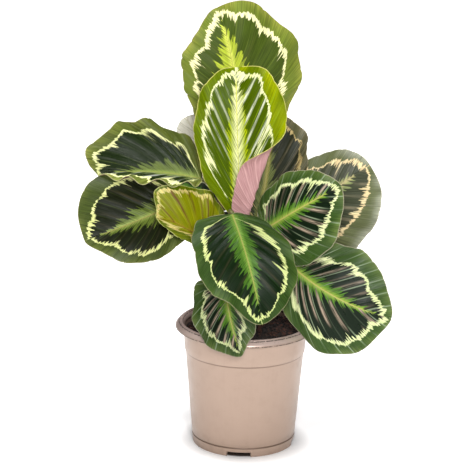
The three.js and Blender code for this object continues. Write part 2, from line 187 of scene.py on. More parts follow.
LEAVES = [
    leaf("crown", (-13, 38, 313), (-33, 44, 436), (0.04, -0.91, 0.42), 9, 6,
         half(51, 0.51, 10, -20, 0.69, 0.9, 0.04, -0.08),
         half(76, 0.52, -15, -12, 0.83, 1.6, 0.04, 0.07),
         waves(5, 3, 0, 0.015), (-2, 20), "olive", lean=3.4, inset=(13.0, 18.0),
         feather=24.0, lobing=4.0, lobes=0.6, band=1.3, frill=1.8, tone=(1.28, 1.28)),
    leaf("young", (-7, -18, 239), (-14, -5, 386), (-0.11, -0.95, 0.31), 12, 1,
         half(41.5, 0.58, 17, -20, 0.88, 0.64, -0.03, -0.03),
         half(52.5, 0.49, 19, -10, 0.8, 0.54, 0, 0.01, 180),
         waves(4, 2, 0, 0.03), (-8, -8), "young", veins=16, lean=4.5, sweep_out=0.9,
         inset=(9.5, 16.0), flare=0.3, lobing=3.6, band=1.0, breaks=0.5, ring_start=0.36,
         feather=23.0, feather_end=0.95, rim=(-0.7, 0.5), streaks=(0.55, 200.0, 0.5, 1.0)),
    leaf("behind", (10, 15, 220), (25, 31, 332), (-0.15, -0.93, 0.33), 8, 3,
         half(34, 0.5, 10, -20, 0.75, 0.85),
         half(38, 0.7, 7, -25, 0.65, 1.05),
         waves(4, 4, 1, 0.05), (8, 6), "shaded", breaks=1, inset=(14.0, 9.0),
         tone=(1.12, 1.12)),
    leaf("right_back", (43, 25, 211), (121, 20, 285), (0.18, -0.72, 0.67), 6, -3,
         half(41, 0.5, 11, -20, 0.75, 0.87, 0.05, -0.01),
         half(59, 0.46, 6, -20, 0.74, 0.81, 0.05, 0.02),
         waves(4, 2), (16, 6), "dusky", inset=(11.0, 21.0), breaks=0.7, band=1.1,
         tone=(1.1, 1.1)),
    leaf("right_front", (17, -15, 226), (90, -38, 278), (0.26, -0.68, 0.68), 7, 2,
         half(41, 0.41, 8, -20, 0.76, 1.1, 0.1, -0.02),
         half(54, 0.43, 2, -20, 0.79, 1.15, 0.1, -0.02),
         waves(4, 2), (6, -6), "streaked", feather=12.0, band=1.1, inset=(12.0, 16.0),
         tone=(1.1, 1.1), streaks=(-1.0, 40.0, 0.8, 0.9)),
    leaf("front", (-15, -38, 248), (16, -88, 152), (0.03, -0.77, 0.64), 12, -1,
         half(46, 0.51, 1, -15, 1.4, 1, 0.012, -0.03),
         half(50, 0.41, 14, -15, 0.5, 0.95, 0.02, -0.12),
         waves(5, 1.5), (-2, -16), "mature", ring_start=0.13, feather=17.0, breaks=0.6,
         tone=(1.1, 1.1)),
    leaf("right_low", (43, -33, 196), (142, -60, 151), (0.12, -0.98, 0.16), 9, 7,
         half(52, 0.48, 6, -20, 0.88, 0.98, 0.05, -0.04),
         half(61, 0.59, -14, -20, 0.94, 1.3, 0.04, -0.01),
         waves(4, 2), (14, -8), "streaked", feather=10.0, band=1.2, inset=(19.0, 14.0),
         tone=(1.1, 1.1), streaks=(-1.0, 40.0, 0.5, 1.0)),
    leaf("front_low", (-22, -55, 187), (-4, -80, 116), (-0.25, -0.92, 0.29), 4, 1,
         half(23, 0.57, -4, -10, 0.75, 1.2, 0.1, -0.08),
         half(40, 0.45, -7, -10, 0.64, 1.25, 0.1, -0.01),
         waves(4, 2), (-12, -22), "streaked", tone=(0.78, 0.78), feather=11.0,
         streaks=(-1.0, 32.0, 1.0, 1.0)),
    leaf("left_low", (-62, 15, 248), (-160, -20, 213), (-0.2, -0.86, 0.47), 6, -4,
         half(44, 0.48, 9, -20, 0.8, 1.25, 0.05, -0.05),
         half(63, 0.49, 8, -15, 0.75, 0.93, 0.05, 0.04),
         waves(4, 2), (-20, 2), "bronzed", tone=(1.1, 1.1), inset=(11.0, 19.0)),
    # Its lighter left half with grey streaks is a painted sheen.
    leaf("left_high", (-46, 10, 270), (-148, -10, 278), (0.04, -0.51, 0.86), 2, 5,
         half(35, 0.44, 36, -16, 0.75, 0.85, 0.01, -0.03),
         half(52, 0.63, 43, -10, 0.75, 1.55, 0.06, 0.14),
         waves(5, 4, -1.9, 0.055), (-14, -2), "glossy", frill=1.6, inset=(6.5, 12.0),
         tone=(1.5, 1.1), streaks=(-1.0, 200.0, 3.4, 0.15)),
    leaf("left_young", (-34, -12, 210), (-89, -30, 245), (-0.31, -0.81, 0.49), 6, 0,
         half(11, 0.48, -1, -20, 0.75, 0.91),
         half(44.5, 0.44, 2, -20, 0.72, 1.25, 0.04, 0.26),
         waves(4, 2), (-18, -10), "sunlit", inset=(6.0, 6.0), band=0.8, feather=4.0,
         ring_start=0.4, tone=(0.84, 0.84), streaks=(-1.0, 60.0, 1.2, 1.2)),
    # Its pale grey underside is painted glare and light through the leaf.
    back_leaf("left_back", (-22, 45, 258), (-64, 60, 321), (-0.4, 0.6, 0.6), 4, (24, 24),
              waves(4, 2), (-12, 12), under="glare"),
    back_leaf("back_right", (30, 50, 195), (95, 112, 190), (0.2, 0.2, 0.95), 10, (36, 40),
              waves(4, 2), (20, 17)),
    back_leaf("back_middle", (0, 68, 205), (8, 165, 185), (0, 0.25, 0.97), 12, (42, 38),
              waves(5, 2, 1), (6, 27)),
    back_leaf("back_left", (-38, 52, 195), (-112, 98, 185), (-0.2, 0.2, 0.95), 10, (38, 36),
              waves(4, 2, 2), (-10, 22)),
    back_leaf("back_high", (-8, 70, 262), (-2, 140, 312), (0, -0.55, 0.83), 8, (38, 40),
              waves(4, 2, 3), (-4, 28), "olive"),
    back_leaf("back_right_high", (24, 58, 232), (70, 118, 262), (0.35, 0.45, 0.8), 10,
              (38, 36), waves(5, 2, 4), (12, 23)),
    back_leaf("back_left_high", (-32, 60, 222), (-88, 124, 236), (-0.35, 0.35, 0.87), 10,
              (35, 37), waves(4, 2, 5), (-16, 16)),
]


# ---- Helpers ------------------------------------------------------------------------

def smooth_step(value):
    """0 for values below 0, 1 for those above 1, and an eased rise between."""
    t = np.clip(value, 0, 1)
    return t * t * (3 - 2 * t)


def unit(vectors):
    vectors = np.asarray(vectors, float)
    return vectors / np.maximum(np.linalg.norm(vectors, axis=-1, keepdims=True), 1e-12)


def to_frame(points):
    """Millimetres from the pot's axis to metres in the model's frame."""
    return np.asarray(points, float) * MM + POT_AXIS


def on_circle(radius, share, z=0.0):
    """The point at a share of the way round a level circle."""
    turn = 2 * math.pi * share
    return radius * math.cos(turn), radius * math.sin(turn), z


def quads(*corners):
    """Faces from four equal grids of point numbers, one for each corner. Where two corners
    are the same point the face is a triangle."""
    loops = np.stack(corners, -1).reshape(-1, 4).tolist()
    loops = [tuple(dict.fromkeys(loop)) for loop in loops]
    return [loop for loop in loops if len(loop) > 2]


def turned_faces(stations, length):
    """Faces of a round form, whose point 0 is one pole and point 1 the other. Between them
    it has so many points at each station round it."""
    here = np.arange(2, 2 + stations * length).reshape(stations, length)
    here = np.pad(here, ((0, 0), (1, 1)), constant_values=((0, 0), (0, 1)))
    beside = np.roll(here, -1, axis=0)
    return quads(here[:, :-1], beside[:, :-1], beside[:, 1:], here[:, 1:])


def linear(hex_colour):
    """An sRGB hex colour as the linear colour that a shader takes."""
    value = int(hex_colour.lstrip("#"), 16)
    channels = [((value >> shift) & 255) / 255 for shift in (16, 8, 0)]
    return tuple(c / 12.92 if c <= 0.04045 else ((c + 0.055) / 1.055) ** 2.4
                 for c in channels) + (1.0,)


def add_object(name, content):
    """A new object for a mesh, a light or a camera, in the scene."""
    thing = bpy.data.objects.new(name, content)
    bpy.context.scene.collection.objects.link(thing)
    return thing


def make_piece(name, points, faces, materials, nodes=(), face_slots=None,
               marks=None, smooth=True):
    """A mesh in the model's frame that rides on the plant's body and stands for nodes."""
    mesh = bpy.data.meshes.new(name)
    mesh.from_pydata(to_frame(points).tolist(), [], faces)
    for material in materials:
        mesh.materials.append(material)
    if face_slots is not None:
        mesh.polygons.foreach_set("material_index", np.asarray(face_slots, np.int32))
    mesh.polygons.foreach_set("use_smooth", np.full(len(mesh.polygons), smooth))
    for mark, values in (marks or {}).items():
        attribute = mesh.attributes.new(mark, "FLOAT", "POINT")
        attribute.data.foreach_set("value", np.asarray(values, np.float32))
    shell = bmesh.new()
    shell.from_mesh(mesh)
    bmesh.ops.recalc_face_normals(shell, faces=shell.faces)
    shell.to_mesh(mesh)
    shell.free()
    if smooth:
        mesh.set_sharp_from_angle(angle=math.radians(50))
    mesh.update()
    piece = add_object(name, mesh)
    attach(piece, "root")
    if nodes:
        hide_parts(*nodes)
    return piece


# ---- Materials ----------------------------------------------------------------------

# A Mix node for colours takes them at its inputs 6 and 7, and gives one at its output 2.
COLOURS = dict(output=2, data_type="RGBA")


class Bench:
    """A new material's node tree, to which nodes are added one at a time."""

    def __init__(self, name):
        self.material = bpy.data.materials.new(name)
        self.material.use_nodes = True
        self.tree = self.material.node_tree
        self.tree.nodes.clear()

    def add(self, kind, inputs=(), output=0, **settings):
        """Adds one node with its settings, fills or links its inputs, and gives one output.
        Inputs are listed from the first one on, or keyed by their names or numbers. Those
        of a MapRange are a value, the two ends of its range, and what these two become."""
        node = self.tree.nodes.new("ShaderNode" + kind)
        for key, value in settings.items():
            setattr(node, key, value)
        for key, value in inputs.items() if isinstance(inputs, dict) else enumerate(inputs):
            if isinstance(value, bpy.types.NodeSocket):
                self.tree.links.new(value, node.inputs[key])
            else:
                node.inputs[key].default_value = value
        return node.outputs[output] if node.outputs else node

    def finish(self, **surface):
        """Gives the material a Principled surface with these inputs, _ for a space."""
        shader = self.add("BsdfPrincipled", {key.replace("_", " "): value
                                             for key, value in surface.items()})
        self.add("OutputMaterial", {"Surface": shader})
        return self.material


def drawn_out(add, across, across_count, along, along_count, detail=2.0, roughness=0.5):
    """Noise with long narrow spots: so many of them to each unit across and along."""
    place = [add("Math", (distance, count), operation="MULTIPLY")
             for distance, count in ((across, across_count), (along, along_count))]
    return add("TexNoise", {"Vector": add("CombineXYZ", place), "Scale": 1.0,
                            "Detail": detail, "Roughness": roughness},
               noise_dimensions="2D")


def blade_upper(name, centre, vein_line, streak_and_sheen, streak_share, ring, feather, border, midrib,
                edge, gloss, shine, heart_reach=6.0, barb_gap=0.55):
    """The upper skin of a calathea blade: a waxy leaf grown with its markings in it. The wax
    gives broad satin highlights on each pleat, and the markings follow the side veins. Gloss
    is the wax's roughness and shine how strongly it reflects. The feather's pale heart
    reaches heart_reach mm, and barb_gap of the feather shows between its barbs."""
    bench = Bench(name)
    add = bench.add
    vein, out, ring_depth, feather_depth, inset, tone, drawn, rim, streaky = (
        add("Attribute", attribute_name=mark, output="Fac") for mark in
        ("vein", "out", "ring", "feather", "inset", "tone", "drawn", "rim", "streaky"))

    def along_veins(mm_wide, mm_long, detail=2.0):
        """Noise drawn out along the side veins, with spots of this size."""
        return drawn_out(add, vein, VEIN_GAP / mm_wide, out, 1 / mm_long, detail, 0.6)

    def band_edge(depth, jag, jag_mm, start, end):
        """0 outside and 1 inside a line that is jagged by so many mm."""
        swing = add("Math", (jag, -0.5), operation="ADD")
        moved = add("Math", (swing, jag_mm, depth), operation="MULTIPLY_ADD")
        return add("MapRange", (moved, start, end))

    teeth_out = along_veins(1.35, 22)
    teeth_in = along_veins(1.08, 30)
    fingers = along_veins(1.8, 40)
    teeth_wide = along_veins(3.15, 60)
    patches = along_veins(10.8, 80, 1.0)
    slow = along_veins(22.5, 45, 1.0)
    # The skin's grain is half a millimetre wide, the finest that still shows as a sheen.
    grain = along_veins(0.45, 30, 1.0)
    # The wax lies thicker in clouds 14 mm across.
    cloud = add("TexNoise", {"Vector": add("TexCoord", output="Object"),
                             "Scale": 1 / (14.286 * MM), "Detail": 3.0})

    # The pale ring, toothed on both of its sides, and the feather with gaps in its barbs.
    ring_outside = band_edge(ring_depth, teeth_out, 7.0, -2.2, -1.6)
    ring_inside = band_edge(ring_depth, teeth_in, 13.0, 1.4, 2.2)
    not_inside = add("Math", (1.0, ring_inside), operation="SUBTRACT")
    ring_whole = add("Math", (ring_outside, not_inside), operation="MULTIPLY")
    ring_share = add("Math", (ring_whole, drawn), operation="MULTIPLY")
    feather_whole = band_edge(feather_depth, fingers, 34.0, -0.5, 0.7)
    between_barbs = add("MapRange", (teeth_in, 0.38, 0.5, barb_gap, 1.0))
    feather_share = add("Math", (feather_whole, between_barbs), operation="MULTIPLY")
    from_rib = add("MapRange", (out, 0.5, heart_reach))

    # The midrib shows where the feather has begun. Margin and border come next.
    rib_here = add("MapRange", (feather_depth, -0.5, 3.0))
    rib_share = add("MapRange", (out, 0.5, 1.1, rib_here, 0.0))
    edge_share = add("MapRange", (inset, 0.2, 0.7, 0.9, 0.0))
    gleam = add("MapRange", (slow, 0.36, 0.64))
    rim_uneven = add("Math", (rim, gleam), operation="MULTIPLY")

    # Each side vein is a thin line that comes and goes, with a broken streak beside it. On
    # the young and glossy looks the streak is a painted sheen; on the streaked look the pale
    # line is a painted highlight and the streak is partly pink and partly painted sheen.
    to_vein = add("Math", (vein, 0.5), operation="PINGPONG")
    vein_share = add("MapRange", (to_vein, 0.0, 0.08, 0.75, 0.0))
    vein_shown = add("MapRange", (slow, 0.38, 0.58, 0.15, 1.0))
    vein_here = add("Math", (vein_share, vein_shown), operation="MULTIPLY")
    beside = add("Math", (vein, 0.3), operation="ADD")
    to_streak = add("Math", (beside, 0.5), operation="PINGPONG")
    streak_here = add("MapRange", (to_streak, 0.03, 0.2, 1.0, 0.0))
    for share in (add("MapRange", (patches, 0.34, 0.54, 0.0, streak_share)),
                  add("MapRange", (teeth_out, 0.3, 0.55)), streaky):
        streak_here = add("Math", (streak_here, share), operation="MULTIPLY")

    # The skin is laid on in coats: each one has its share and its colour.
    border_skin, quill, pale = (
        add("Mix", {0: share, 6: linear(first), 7: linear(second)}, **COLOURS)
        for share, (first, second) in ((rim_uneven, border), (from_rib, feather),
                                       (teeth_wide, ring)))
    skin = add("Mix", {0: streak_here, 6: linear(centre), 7: linear(streak_and_sheen)}, **COLOURS)
    skin = add("Mix", {0: ring_outside, 6: border_skin, 7: skin}, **COLOURS)
    for share, colour in ((vein_here, linear(vein_line)), (feather_share, quill),
                          (ring_share, pale), (rib_share, linear(midrib)),
                          (edge_share, linear(edge))):
        skin = add("Mix", {0: share, 6: skin, 7: colour}, **COLOURS)
    # The grain's fine lines lighten and darken the skin: partly its own fine veins, partly
    # painted light and shade of its fine pleats.
    shade = add("MapRange", (grain, 0.3, 0.7, 0.7, 1.24))
    deep = add("Math", (shade, tone), operation="MULTIPLY")
    grey = add("CombineColor", (deep, deep, deep))
    skin = add("Mix", {0: 1.0, 6: skin, 7: grey}, blend_type="MULTIPLY", **COLOURS)

    wax = add("MapRange", (cloud, 0.3, 0.7, gloss - 0.05, gloss + 0.08))
    bump = add("Bump", {"Height": grain, "Strength": 0.8, "Distance": 0.25 * MM})
    return bench.finish(Base_Color=skin, Roughness=wax, Normal=bump, IOR=1.45,
                        Specular_IOR_Level=shine)


def blade_lower(name, plain, vein_colour, rib_colour, ring_colour):
    """The underside of a blade: matt leaf skin without wax, where the side veins stand out
    as fine pale lines and the ring of the upper side shows through."""
    bench = Bench(name)
    add = bench.add
    vein, out, ring_depth = (add("Attribute", attribute_name=mark, output="Fac")
                             for mark in ("vein", "out", "ring"))
    # Fourteen lines between two side veins are 0.6 mm wide each, and 25 mm long.
    lines = drawn_out(add, vein, 14.0, out, 1 / 25)
    to_vein = add("Math", (vein, 0.5), operation="PINGPONG")
    from_ring = add("Math", (ring_depth,), operation="ABSOLUTE")
    skin = linear(plain)
    for share, colour in (
            (add("MapRange", (lines, 0.42, 0.68, 0.0, 0.55)), vein_colour),
            (add("MapRange", (to_vein, 0.0, 0.09, 0.75, 0.0)), vein_colour),
            (add("MapRange", (from_ring, 0.8, 3.2, 0.35, 0.0)), ring_colour),
            (add("MapRange", (out, 1.2, 2.0, 1.0, 0.0)), rib_colour)):
        skin = add("Mix", {0: share, 6: skin, 7: linear(colour)}, **COLOURS)
    bump = add("Bump", {"Height": lines, "Strength": 0.4, "Distance": 0.3 * MM})
    return bench.finish(Base_Color=skin, Roughness=0.55, Normal=bump, IOR=1.4)


def stalk_skin(name, sheath, middle, knee, fleck):
    """The skin of a leaf stalk: a fibrous green stem, flushed brown and maroon, satin from
    its wax, with fine ridges along it."""
    bench = Bench(name)
    add = bench.add
    along, around = (add("Attribute", attribute_name=mark, output="Fac")
                     for mark in ("along", "around"))
    ramp = add("ValToRGB", (along,))
    stops = ramp.node.color_ramp.elements
    stops[0].position = 0.0
    stops[0].color = linear(sheath)
    stops[1].position = 0.97
    stops[1].color = linear(knee)
    for place in (0.45, 0.82):
        stops.new(place).color = linear(middle)
    # Nine flecks to a radian are 0.2 mm wide, and seven up a stalk 10 to 30 mm long. In the
    # render they run together and mottle the stalk's colour.
    flecks = drawn_out(add, around, 9.0, along, 7.0, 3.0)
    share = add("MapRange", (flecks, 0.45, 0.7, 0.0, 0.6))
    skin = add("Mix", {0: share, 6: ramp, 7: linear(fleck)}, **COLOURS)
    bump = add("Bump", {"Height": flecks, "Strength": 0.4, "Distance": 0.3 * MM})
    return bench.finish(Base_Color=skin, Roughness=0.42, Normal=bump, IOR=1.45)


def peat(name, dark, light, grit_mm):
    """Damp peat compost and bark, riddled: matt, near black, lighter where it has dried.
    Its grit is drawn coarser than peat dust, so that it shows."""
    bench = Bench(name)
    add = bench.add
    grit = add("TexNoise", {"Vector": add("TexCoord", output="Object"),
                            "Scale": 1 / (grit_mm * MM), "Detail": 6.0, "Roughness": 0.7})
    share = add("MapRange", (grit, 0.4, 0.72))
    skin = add("Mix", {0: share, 6: linear(dark), 7: linear(light)}, **COLOURS)
    bump = add("Bump", {"Height": grit, "Strength": 0.8, "Distance": 0.6 * MM})
    return bench.finish(Base_Color=skin, Roughness=0.9, Normal=bump)


def moulded_polypropylene(name, plain, worn, flange_highlight, soil_and_shade, crevice_shade, dark_soil):
    """The pot: injection-moulded polypropylene with a metallic taupe pigment. It is satin
    smooth, with faint flow lines up the wall, soil rubbed under the hooked rim and on the
    lip, and scuffs round the foot. Painted shade darkens the wall towards the foot and lies
    in the crevices at the foot ring and under the band, and a painted highlight lightens
    the top of the flange."""
    bench = Bench(name)
    add = bench.add
    place = add("TexCoord", output="Object")
    axis = add("VectorMath", (place, tuple(-POT_AXIS)), operation="ADD")
    parts = add("SeparateXYZ", (axis,)).node.outputs
    height = add("Math", (parts["Z"], 1 / MM), operation="MULTIPLY")
    turn = add("Math", (parts["Y"], parts["X"]), operation="ARCTAN2")
    # Flow lines are 2 mm wide at a radius of 60, and 50 mm long. Smudges are 11 mm across
    # and flakes of dried soil 2.4 mm. The flakes of metal in the plastic are finer than
    # 0.1 mm, and are drawn 1.1 mm across so that they show.
    flow = drawn_out(add, turn, 60 / 2, height, 1 / 50, 3.0)
    pigment, smudge, crust = (
        add("TexNoise", {"Vector": axis, "Scale": 1 / (mm * MM), "Detail": detail,
                         "Roughness": roughness})
        for mm, detail, roughness in ((1.1111, 2.0, 0.5), (11.111, 5.0, 0.65),
                                      (2.381, 4.0, 0.7)))

    def dirt_and_shade_line(place, core, fade, share):
        """A dark line at a height: soil on the rim, and painted shade in the crevices. It is
        full for core mm off it, and gone at fade mm.
        """
        off = add("Math", (height, -place), operation="ADD")
        off = add("Math", (off,), operation="ABSOLUTE")
        return add("MapRange", (off, core, fade, share, 0.0))

    smudged = add("MapRange", (smudge, 0.5, 0.72))
    low_down = add("MapRange", (height, 2.0, 22.0, 0.75, 0.12))
    crusted = add("MapRange", (crust, 0.42, 0.5))
    specks = add("MapRange", (crust, 0.6, 0.66))
    high_up = add("MapRange", (height, FLANGE_TOP_Z - 1, POT_HEIGHT, 0.0, 0.7))
    scuffs, rim_soil, crown_soil, lip_soil = (
        add("Math", shares, operation="MULTIPLY") for shares in (
            (low_down, smudged), (dirt_and_shade_line(FLANGE_Z + 0.2, 0.6, 1.0, 1.0), crusted),
            (dirt_and_shade_line(POT_HEIGHT - 1.2, 0.2, 0.5, 0.85), crusted), (high_up, specks)))
    skin = linear(plain)
    for share, colour in (
            (add("MapRange", (flow, 0.4, 0.75, 0.0, 0.12)), worn),
            (scuffs, soil_and_shade),
            # Painted shade: the wall grows darker towards the foot.
            (add("MapRange", (height, 5.0, 105.0, 0.5, 0.0)), soil_and_shade),
            # Painted highlight: the top of the flange is lighter.
            (add("MapRange", (height, FLANGE_Z + 1.0, FLANGE_TOP_Z + 0.6)), flange_highlight),
            # Painted shade in the crevices at the foot ring and under the band.
            (dirt_and_shade_line(FOOT_RING_Z + 0.3, 0.5, 1.3, 0.75), crevice_shade),
            (dirt_and_shade_line(BAND_FOOT_Z - 0.9, 0.4, 1.1, 0.7), crevice_shade),
            (rim_soil, dark_soil), (crown_soil, dark_soil), (lip_soil, dark_soil)):
        skin = add("Mix", {0: share, 6: skin, 7: linear(colour)}, **COLOURS)
    gloss = add("MapRange", (smudge, 0.35, 0.7, 0.3, 0.42))
    bump = add("Bump", {"Height": pigment, "Strength": 0.15, "Distance": 0.1 * MM})
    return bench.finish(Base_Color=skin, Roughness=gloss, Normal=bump, IOR=1.49,
                        Metallic=0.35)


# The looks of the upper skin. Pairs of colours are the ring's cool and warm parts, the
# feather's heart and barbs, and the border's dull and gleaming parts. The streaks' colour
# is a painted sheen on the young and glossy looks, and partly pink, partly painted sheen
# on the streaked look.
UPPER = {
    "mature": blade_upper(
        "waxy_leaf_dark", centre="#0b1d06", vein_line="#243a17", midrib="#95984e",
        edge="#80805a", ring=("#b4c470", "#d2d898"), feather=("#76983e", "#456c20"),
        border=("#2e4418", "#4a6228"), streak_and_sheen="#7c6a52", streak_share=0.12, gloss=0.33,
        shine=0.16),
    "bronzed": blade_upper(
        "waxy_leaf_bronzed", centre="#151b07", vein_line="#333d18", midrib="#9a9650",
        edge="#8f8b5e", ring=("#c2cd78", "#dedb9c"), feather=("#98a852", "#64762e"),
        border=("#3d491c", "#5e6830"), streak_and_sheen="#7a6c50", streak_share=0.15, gloss=0.33,
        shine=0.18),
    # Its grey streaks are a painted sheen.
    "glossy": blade_upper(
        "waxy_leaf_glossy", centre="#1c2810", vein_line="#4c582c", midrib="#9a9a58",
        edge="#97946a", ring=("#d3dc8e", "#ebe7b0"), feather=("#97a858", "#6d7c40"),
        border=("#545f26", "#767c3a"), streak_and_sheen="#8e9088", streak_share=0.9, gloss=0.27,
        shine=0.14),
    # Its pale vein lines are painted highlights, and its streaks are partly pink and partly
    # painted sheen.
    "streaked": blade_upper(
        "waxy_leaf_streaked", centre="#0a1a08", vein_line="#93a383", midrib="#b0a85c",
        edge="#9a957a", ring=("#bcce86", "#dcdcae"), feather=("#93ac44", "#4f7a24"),
        border=("#334a1c", "#5e7038"), streak_and_sheen="#b5a08a", streak_share=1.0, gloss=0.3,
        shine=0.2),
    "olive": blade_upper(
        "backlit_leaf_olive", centre="#3f4f14", vein_line="#5c6c26", midrib="#b9bd50",
        edge="#8d8450", ring=("#eff0aa", "#f4e9b6"), feather=("#d6dc62", "#a9b834"),
        border=("#667426", "#868b38"), streak_and_sheen="#6a6038", streak_share=0.15, gloss=0.45,
        shine=0.2),
    "dusky": blade_upper(
        "shaded_leaf_dusky", centre="#3a3f2c", vein_line="#6d705a", midrib="#b9ae80",
        edge="#b9b6a2", ring=("#d3cc9e", "#e6c690"), feather=("#bcb57c", "#86905c"),
        border=("#5a613c", "#9b9e88"), streak_and_sheen="#998e72", streak_share=0.5, gloss=0.42,
        shine=0.35),
    "shaded": blade_upper(
        "shaded_leaf_brown", centre="#1c2010", vein_line="#444630", midrib="#9b9460",
        edge="#8f876a", ring=("#8f8a5c", "#c4a66e"), feather=("#9a9450", "#5f6838"),
        border=("#4a4a30", "#6a6448"), streak_and_sheen="#6f6650", streak_share=0.5, gloss=0.4,
        shine=0.25),
    # Its pale streaks and the white heart of its feather are painted highlights.
    "young": blade_upper(
        "young_leaf_green", centre="#465a02", vein_line="#8ba520", midrib="#d9dc66",
        edge="#d5cf74", ring=("#dde37e", "#fafad6"), feather=("#f4f4bc", "#a6b60c"),
        border=("#5f7200", "#98a308"), streak_and_sheen="#eef2d2", streak_share=0.9, gloss=0.26,
        shine=0.06, heart_reach=17.0, barb_gap=0.3),
    "sunlit": blade_upper(
        "young_leaf_yellow", centre="#8e9402", vein_line="#b4b01c", midrib="#8f6c2c",
        edge="#d5d780", ring=("#eeee96", "#d8b464"), feather=("#a8942a", "#8c7f0e"),
        border=("#5c6e03", "#75820a"), streak_and_sheen="#6e4c14", streak_share=0.9, gloss=0.35,
        shine=0.15),
}
LOWER = {
    "plum": blade_lower("leaf_underside_plum", "#4a2c32", "#70504f", "#80644e", "#745558"),
    "rose": blade_lower("leaf_underside_rose", "#a87a7a", "#d6aba6", "#c79c90", "#be9290"),
    # This pale grey underside is painted glare and light through the leaf.
    "glare": blade_lower("leaf_underside_glare", "#eceada", "#a5a386", "#d8d5be",
                          "#e6e3d0"),
}
STALK_SKIN = {
    "mature": stalk_skin("leaf_stalk_maroon", "#4a2f2a", "#5a4434", "#6f7a3e", "#7d5a4c"),
    "young": stalk_skin("leaf_stalk_green", "#5c4a33", "#6f6a3a", "#8e9a4a", "#8a5c58"),
}
COMPOST = [
    peat("damp_peat", "#0d0806", "#2a1d15", 2.5),
    peat("dried_peat", "#1c120d", "#463226", 1.8),
    peat("bark_chip", "#2a1710", "#5c3828", 1.5),
]
# The third colour is a painted highlight on the flange, the fourth soil and painted shade
# towards the foot, and the fifth painted shade in the crevices.
POT_PLASTIC = moulded_polypropylene(
    "moulded_polypropylene_taupe", "#b09888", "#baa291", "#d2bbb0", "#8d7767", "#6d594a",
    "#2c2018")

# The slot name of each look. The script reads it only to tell the young looks from the others.
LOOK_SLOT = {"mature": "leaf_mature", "bronzed": "leaf_mature", "glossy": "leaf_mature",
             "streaked": "leaf_mature", "olive": "leaf_olive", "dusky": "leaf_olive",
             "shaded": "leaf_olive", "young": "leaf_young", "sunlit": "leaf_young"}


# ---- Leaf blades --------------------------------------------------------------------

def midrib_frame(leaf, t):
    """The midrib's points, tangents, normals and right-hand directions at shares t of its
    length. Past its ends it is straight."""
    base, tip, face = (np.array(leaf[key], float) for key in ("base", "tip", "face"))
    chord = tip - base
    length = np.linalg.norm(chord)
    ahead = chord / length
    face = unit(face)
    up = unit(face - ahead * (face @ ahead))
    bow = up * leaf["arch"] + np.cross(ahead, up) * leaf["sweep"]
    t = np.asarray(t, float)[..., None]
    inside = np.clip(t, 0, 1)
    tangent = unit(chord + bow * 4 * (1 - 2 * inside))
    point = base + chord * inside + bow * 4 * inside * (1 - inside)
    point = point + tangent * (t - inside) * length
    normal = unit(face - tangent * (tangent @ face)[..., None])
    return point, tangent, normal, np.cross(tangent, normal)


def half_of(leaf, hand):
    """The left half for hand -1 or the right one for 1, and the phase added to its waves."""
    return (leaf["left"], 0) if hand < 0 else (leaf["right"], WAVE_SHIFT)


def margin_at(leaf, hand, s):
    """The margin at share s from base to tip: its place along the leaf and its reach in mm."""
    side, shift = half_of(leaf, hand)
    wave = leaf["waves"]
    sine = np.clip(np.sin(np.pi * s), 0, None)
    swell = 1 + wave["scallop"] * np.cos(2 * np.pi * wave["count"] * s + wave["phase"] + shift)
    out = side["width"] * sine ** np.where(s < 0.5, side["foot"], side["point"]) * swell
    # Between the ends of the side veins the margin bulges a little, here more and there less.
    count = s * leaf["veins"] + (0.5 if hand > 0 else 0)
    uneven = 0.6 + 0.4 * np.sin(2.7 * np.floor(count) + leaf["base"][0])
    bulge = np.abs(np.sin(np.pi * count)) ** 0.6 - 0.6
    out = out + leaf["frill"] * uneven * bulge * np.clip(6 * sine - 1, 0, 1)
    along = ((1 - np.cos(np.pi * s)) / 2) ** (math.log(side["widest"]) / math.log(0.5))
    along = along - side["lobe"] * np.where(s < 0.4, np.sin(np.pi * s / 0.4) ** 2, 0)
    along = along + side["nose"] * np.where(s > 0.6, np.sin(np.pi * (1 - s) / 0.4) ** 2, 0)
    return along, out


def vein_start(leaf, s):
    """How far along the midrib the side vein that ends at share s of the margin leaves it."""
    return 0.4 * s ** (leaf["lean"] - 1.2) + 0.6 * s ** leaf["lean"]


def blade_points(leaf, hand, s, reach):
    """Points of one half's middle surface, for shares s along and reach out to the margin."""
    side, shift = half_of(leaf, hand)
    wave = leaf["waves"]
    place, width = margin_at(leaf, hand, s)
    start = vein_start(leaf, s)
    bend = (0.75 * reach + 0.25 * reach * reach) ** leaf["sweep_out"]
    along = start + (place - start) * bend
    out = width * reach
    point, _, normal, right = midrib_frame(leaf, along)

    # The half is followed from the midrib outwards, turning with its fold, curl and roll.
    roll = side["roll"] * (1 - smooth_step((along - ROLL_TOP) / ROLL_FADE))
    crease = ROLL_CREASE + ROLL_SPREAD * along
    outward, upward = np.zeros_like(out), np.zeros_like(out)
    for k in range(BEND_STEPS + 1):
        here = out * min((k + 0.5) / BEND_STEPS, 1)
        angle = np.radians(side["fold"] + side["curl"] * here / side["width"]
                           + roll * smooth_step((here - crease) / ROLL_SPAN))
        if k < BEND_STEPS:
            outward += np.cos(angle) * out / BEND_STEPS
            upward += np.sin(angle) * out / BEND_STEPS
    swing = np.sin(2 * np.pi * wave["count"] * s + wave["phase"] + shift)
    lift = wave["height"] * swing * reach ** 2.5 * np.sqrt(np.clip(np.sin(np.pi * s), 0, None))
    return (point + right * (hand * (outward - lift * np.sin(angle)))[..., None]
            + normal * (upward + lift * np.cos(angle))[..., None])


